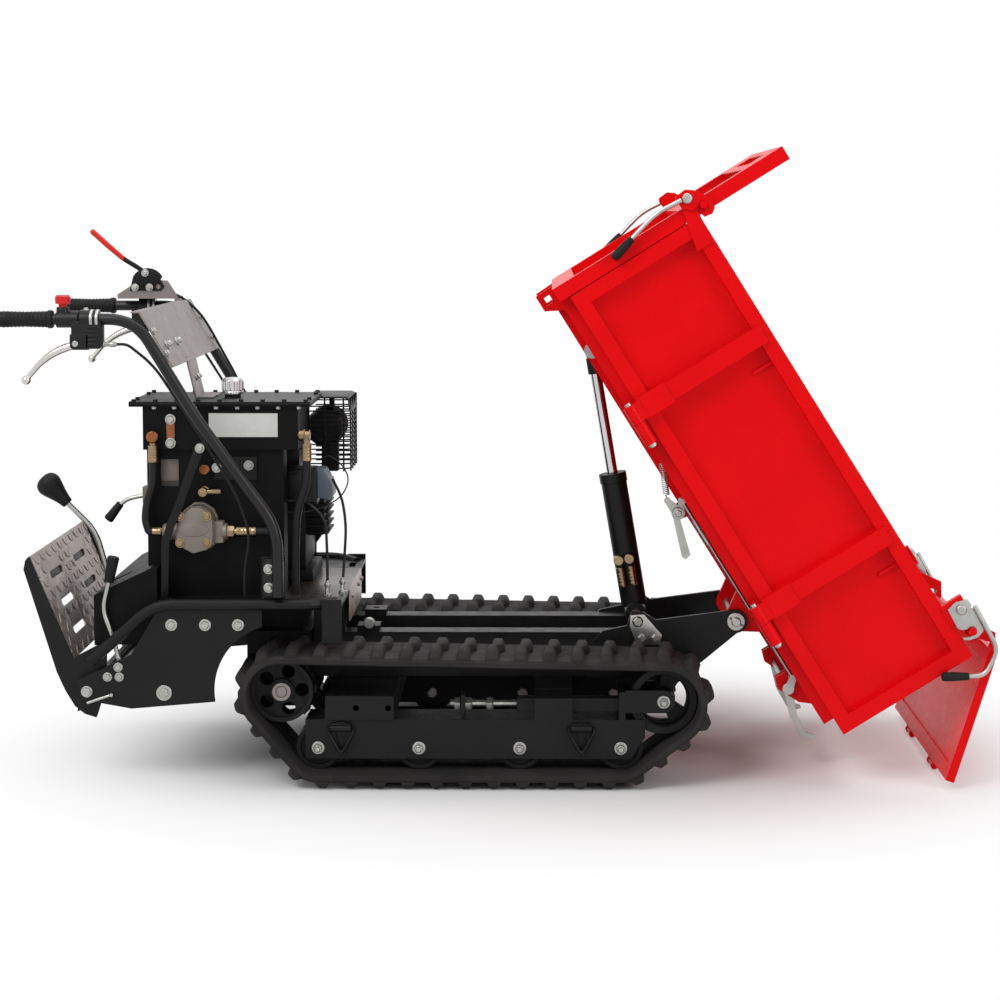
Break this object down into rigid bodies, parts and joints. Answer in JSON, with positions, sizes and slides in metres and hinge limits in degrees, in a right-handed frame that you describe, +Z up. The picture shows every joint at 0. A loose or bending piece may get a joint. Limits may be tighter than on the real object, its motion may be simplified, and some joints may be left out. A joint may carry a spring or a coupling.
{
  "type": "tracked power carrier",
  "caption": "Walk-behind tracked carrier with a hydraulic tipping drop-side box, petrol engine, rubber tracks and a folding operator platform, shown with the box tipped.",
  "frame": {"origin": "centre of the bounding box on the ground under the tracks", "axes": "+X towards the dump end, +Y away from the pump side, +Z up"},
  "size_m": [2.119, 0.713, 1.3644],
  "materials": {
    "black_paint": "semi-gloss black paint",
    "track_rubber": "moulded rubber",
    "black_cast": "black painted casting",
    "zinc": "zinc plated",
    "chrome": "polished",
    "engine_black": "black painted casting",
    "cast_alloy": "bead blasted casting",
    "bright_alloy": "polished",
    "brass": "plain",
    "rubber_black": "matte",
    "steel_plate": "grey plate",
    "black_plastic": "moulded",
    "red_plastic": "moulded",
    "red_paint": "gloss red powder coat"
  },
  "bodies": {
    "chassis": {"main_frame": "black_paint", "chassis_hardware": "zinc", "near_track": "track_rubber", "far_track": "track_rubber", "track_frames": "black_paint", "rear_frame": "black_paint", "gearbox": "engine_black", "body_panels": "black_paint", "engine": "engine_black", "muffler": "engine_black", "oil_tank": "black_paint", "tank_lid": "black_paint", "gear_pump": "cast_alloy", "hydraulic_fittings": "brass", "control_valve": "cast_alloy", "hoses": "rubber_black", "control_cables": "rubber_black", "handlebar": "black_paint", "grips": "rubber_black", "console_plate": "steel_plate", "lever_housings": "black_plastic"},
    "box": {"box_floor": "red_paint", "headboard": "red_paint", "box_hardware": "zinc", "release_spring": "zinc"},
    "cylinder_rod": {"cylinder_rod": "chrome"},
    "cylinder_barrel": {"cylinder_barrel": "black_paint"},
    "tailgate": {"tailgate": "red_paint"},
    "near_side": {"near_side": "red_paint"},
    "near_head_latch": {"near_head_latch": "zinc"},
    "near_tail_latch": {"near_tail_latch": "zinc"},
    "far_side": {"far_side": "red_paint"},
    "far_head_latch": {"far_head_latch": "zinc"},
    "far_tail_latch": {"far_tail_latch": "zinc"},
    "release_lever": {"release_lever": "zinc"},
    "release_rod": {"release_rod": "zinc"},
    "release_hooks": {"release_hooks": "zinc"},
    "near_sprocket": {"near_sprocket": "black_cast"},
    "near_idler": {"near_idler": "black_cast"},
    "near_roller_1": {"near_roller_1": "black_cast"},
    "near_roller_2": {"near_roller_2": "black_cast"},
    "near_roller_3": {"near_roller_3": "black_cast"},
    "near_roller_4": {"near_roller_4": "black_cast"},
    "far_sprocket": {"far_sprocket": "black_cast"},
    "far_idler": {"far_idler": "black_cast"},
    "far_roller_1": {"far_roller_1": "black_cast"},
    "far_roller_2": {"far_roller_2": "black_cast"},
    "far_roller_3": {"far_roller_3": "black_cast"},
    "far_roller_4": {"far_roller_4": "black_cast"},
    "near_clutch_lever": {"near_clutch_lever": "bright_alloy"},
    "far_clutch_lever": {"far_clutch_lever": "bright_alloy"},
    "stop_button": {"stop_button": "red_plastic"},
    "brake_lever": {"brake_lever": "red_plastic"},
    "gear_lever": {"gear_lever": "black_plastic"},
    "valve_lever": {"valve_lever": "black_plastic"},
    "side_lever": {"side_lever": "black_plastic"},
    "platform": {"platform": "black_paint"},
    "strut_tube": {"strut_tube": "black_paint"},
    "strut_rod": {"strut_rod": "zinc"},
    "filler_cap": {"filler_cap": "chrome"}
  },
  "joints": [
    {"name": "box_tip", "type": "hinge", "parent": "chassis", "child": "box", "pos_m": [0.5225, 0, 0.3224], "axis": [0, 1, 0], "range_deg": [-58, 0]},
    {"name": "rod_eye", "type": "hinge", "parent": "box", "child": "cylinder_rod", "pos_m": [0.20527, 0, 0.91953], "axis": [0, 1, 0], "range_deg": [-17.14, 0.5]},
    {"name": "barrel_slide", "type": "slide", "parent": "cylinder_rod", "child": "cylinder_barrel", "axis": [-0.1648, 0, 0.9863], "range_m": [-0.001, 0.1466]},
    {"name": "tailgate_swing", "type": "hinge", "parent": "box", "child": "tailgate", "pos_m": [1.00342, 0, 0.34345], "axis": [0, 1, 0], "range_deg": [-45, 40.3]},
    {"name": "near_side_drop", "type": "hinge", "parent": "box", "child": "near_side", "pos_m": [0.56914, -0.343, 0.35155], "axis": [0.5299, 0, -0.848], "range_deg": [0, 100]},
    {"name": "near_head_latch_turn", "type": "hinge", "parent": "near_side", "child": "near_head_latch", "pos_m": [0.39687, -0.3365, 1.25563], "axis": [0, -1, 0], "range_deg": [0, 55]},
    {"name": "near_tail_latch_turn", "type": "hinge", "parent": "near_side", "child": "near_tail_latch", "pos_m": [0.97841, -0.3365, 0.38914], "axis": [0, -1, 0], "range_deg": [0, 55]},
    {"name": "far_side_drop", "type": "hinge", "parent": "box", "child": "far_side", "pos_m": [0.56914, 0.343, 0.35155], "axis": [-0.5299, 0, 0.848], "range_deg": [0, 100]},
    {"name": "far_head_latch_turn", "type": "hinge", "parent": "far_side", "child": "far_head_latch", "pos_m": [0.39687, 0.3365, 1.25563], "axis": [0, -1, 0], "range_deg": [0, 55]},
    {"name": "far_tail_latch_turn", "type": "hinge", "parent": "far_side", "child": "far_tail_latch", "pos_m": [0.97841, 0.3365, 0.38914], "axis": [0, -1, 0], "range_deg": [0, 55]},
    {"name": "release_turn", "type": "hinge", "parent": "box", "child": "release_hooks", "pos_m": [0.63591, 0, 0.17865], "axis": [0, 1, 0], "range_deg": [-13, 0]},
    {"name": "lever_turn", "type": "hinge", "parent": "box", "child": "release_lever", "pos_m": [0.39214, -0.16, 0.56876], "axis": [0, 1, 0], "range_deg": [-13.5, 0.5], "deforming": ["release_spring"]},
    {"name": "link_turn", "type": "hinge", "parent": "release_lever", "child": "release_rod", "pos_m": [0.40041, -0.16, 0.59515], "axis": [0, 1, 0], "range_deg": [-0.5, 13.5]},
    {"name": "near_sprocket_spin", "type": "hinge", "parent": "chassis", "child": "near_sprocket", "pos_m": [-0.4645, -0.26, 0.203], "axis": [0, 1, 0], "continuous": true},
    {"name": "near_idler_spin", "type": "hinge", "parent": "chassis", "child": "near_idler", "pos_m": [0.3536, -0.26, 0.1833], "axis": [0, 1, 0], "continuous": true},
    {"name": "near_roller_1_spin", "type": "hinge", "parent": "chassis", "child": "near_roller_1", "pos_m": [-0.386, -0.26, 0.0828], "axis": [0, 1, 0], "continuous": true},
    {"name": "near_roller_2_spin", "type": "hinge", "parent": "chassis", "child": "near_roller_2", "pos_m": [-0.17, -0.26, 0.0828], "axis": [0, 1, 0], "continuous": true},
    {"name": "near_roller_3_spin", "type": "hinge", "parent": "chassis", "child": "near_roller_3", "pos_m": [0.046, -0.26, 0.0828], "axis": [0, 1, 0], "continuous": true},
    {"name": "near_roller_4_spin", "type": "hinge", "parent": "chassis", "child": "near_roller_4", "pos_m": [0.262, -0.26, 0.0828], "axis": [0, 1, 0], "continuous": true},
    {"name": "far_sprocket_spin", "type": "hinge", "parent": "chassis", "child": "far_sprocket", "pos_m": [-0.4645, 0.26, 0.203], "axis": [0, 1, 0], "continuous": true},
    {"name": "far_idler_spin", "type": "hinge", "parent": "chassis", "child": "far_idler", "pos_m": [0.3536, 0.26, 0.1833], "axis": [0, 1, 0], "continuous": true},
    {"name": "far_roller_1_spin", "type": "hinge", "parent": "chassis", "child": "far_roller_1", "pos_m": [-0.386, 0.26, 0.0828], "axis": [0, 1, 0], "continuous": true},
    {"name": "far_roller_2_spin", "type": "hinge", "parent": "chassis", "child": "far_roller_2", "pos_m": [-0.17, 0.26, 0.0828], "axis": [0, 1, 0], "continuous": true},
    {"name": "far_roller_3_spin", "type": "hinge", "parent": "chassis", "child": "far_roller_3", "pos_m": [0.046, 0.26, 0.0828], "axis": [0, 1, 0], "continuous": true},
    {"name": "far_roller_4_spin", "type": "hinge", "parent": "chassis", "child": "far_roller_4", "pos_m": [0.262, 0.26, 0.0828], "axis": [0, 1, 0], "continuous": true},
    {"name": "near_clutch_lever_pull", "type": "hinge", "parent": "chassis", "child": "near_clutch_lever", "pos_m": [-0.888, -0.322, 0.952], "axis": [0, 1, 0], "range_deg": [0, 22], "stiffness_Nm_per_rad": 6, "springref_deg": -8.59},
    {"name": "far_clutch_lever_pull", "type": "hinge", "parent": "chassis", "child": "far_clutch_lever", "pos_m": [-0.888, 0.322, 0.952], "axis": [0, 1, 0], "range_deg": [0, 22], "stiffness_Nm_per_rad": 6, "springref_deg": -8.59},
    {"name": "stop_button_press", "type": "slide", "parent": "chassis", "child": "stop_button", "axis": [0, 0, -1], "range_m": [0, 0.004], "stiffness_N_per_m": 900, "springref_m": -0.002},
    {"name": "brake_lever_pull", "type": "hinge", "parent": "chassis", "child": "brake_lever", "pos_m": [-0.818, 0.25, 1.052], "axis": [0, 1, 0], "range_deg": [-22, 20]},
    {"name": "gear_lever_shift", "type": "hinge", "parent": "chassis", "child": "gear_lever", "pos_m": [-0.846, -0.12, 0.33], "axis": [0, 1, 0], "range_deg": [-10, 8]},
    {"name": "valve_lever_turn", "type": "hinge", "parent": "chassis", "child": "valve_lever", "pos_m": [-0.779, -0.12, 0.602], "axis": [0, 1, 0], "range_deg": [-16, 16], "stiffness_Nm_per_rad": 3},
    {"name": "side_lever_turn", "type": "hinge", "parent": "chassis", "child": "side_lever", "pos_m": [-0.796, -0.283, 0.243], "axis": [0, 1, 0], "range_deg": [-8, 10]},
    {"name": "platform_fold", "type": "hinge", "parent": "chassis", "child": "platform", "pos_m": [-0.883, 0, 0.202], "axis": [0, 1, 0], "range_deg": [-71, 0]},
    {"name": "strut_swing", "type": "hinge", "parent": "chassis", "child": "strut_tube", "pos_m": [-0.731, 0, 0.207], "axis": [0, 1, 0], "range_deg": [-2.03, 0.3]},
    {"name": "strut_slide", "type": "slide", "parent": "strut_tube", "child": "strut_rod", "axis": [0.9792, 0, 0.2028], "range_m": [-0.001, 0.0408]},
    {"name": "filler_cap_turn", "type": "hinge", "parent": "chassis", "child": "filler_cap", "pos_m": [-0.593, -0.1, 0.855], "axis": [0, 0, 1], "range_deg": [0, 180]}
  ],
  "couplings": [
    {"joint": "rod_eye", "follows": "box_tip", "ratio": 0.28689},
    {"joint": "barrel_slide", "follows": "box_tip", "m_per_rad": -0.14383},
    {"joint": "lever_turn", "follows": "release_turn", "ratio": 1},
    {"joint": "link_turn", "follows": "release_turn", "ratio": -1},
    {"joint": "near_idler_spin", "follows": "near_sprocket_spin", "ratio": 0.91892},
    {"joint": "near_roller_1_spin", "follows": "near_sprocket_spin", "ratio": 1.3934},
    {"joint": "near_roller_2_spin", "follows": "near_sprocket_spin", "ratio": 1.3934},
    {"joint": "near_roller_3_spin", "follows": "near_sprocket_spin", "ratio": 1.3934},
    {"joint": "near_roller_4_spin", "follows": "near_sprocket_spin", "ratio": 1.3934},
    {"joint": "far_idler_spin", "follows": "far_sprocket_spin", "ratio": 0.91892},
    {"joint": "far_roller_1_spin", "follows": "far_sprocket_spin", "ratio": 1.3934},
    {"joint": "far_roller_2_spin", "follows": "far_sprocket_spin", "ratio": 1.3934},
    {"joint": "far_roller_3_spin", "follows": "far_sprocket_spin", "ratio": 1.3934},
    {"joint": "far_roller_4_spin", "follows": "far_sprocket_spin", "ratio": 1.3934},
    {"joint": "strut_swing", "follows": "platform_fold", "ratio": 0.02434},
    {"joint": "strut_slide", "follows": "platform_fold", "m_per_rad": -0.032107}
  ]
}
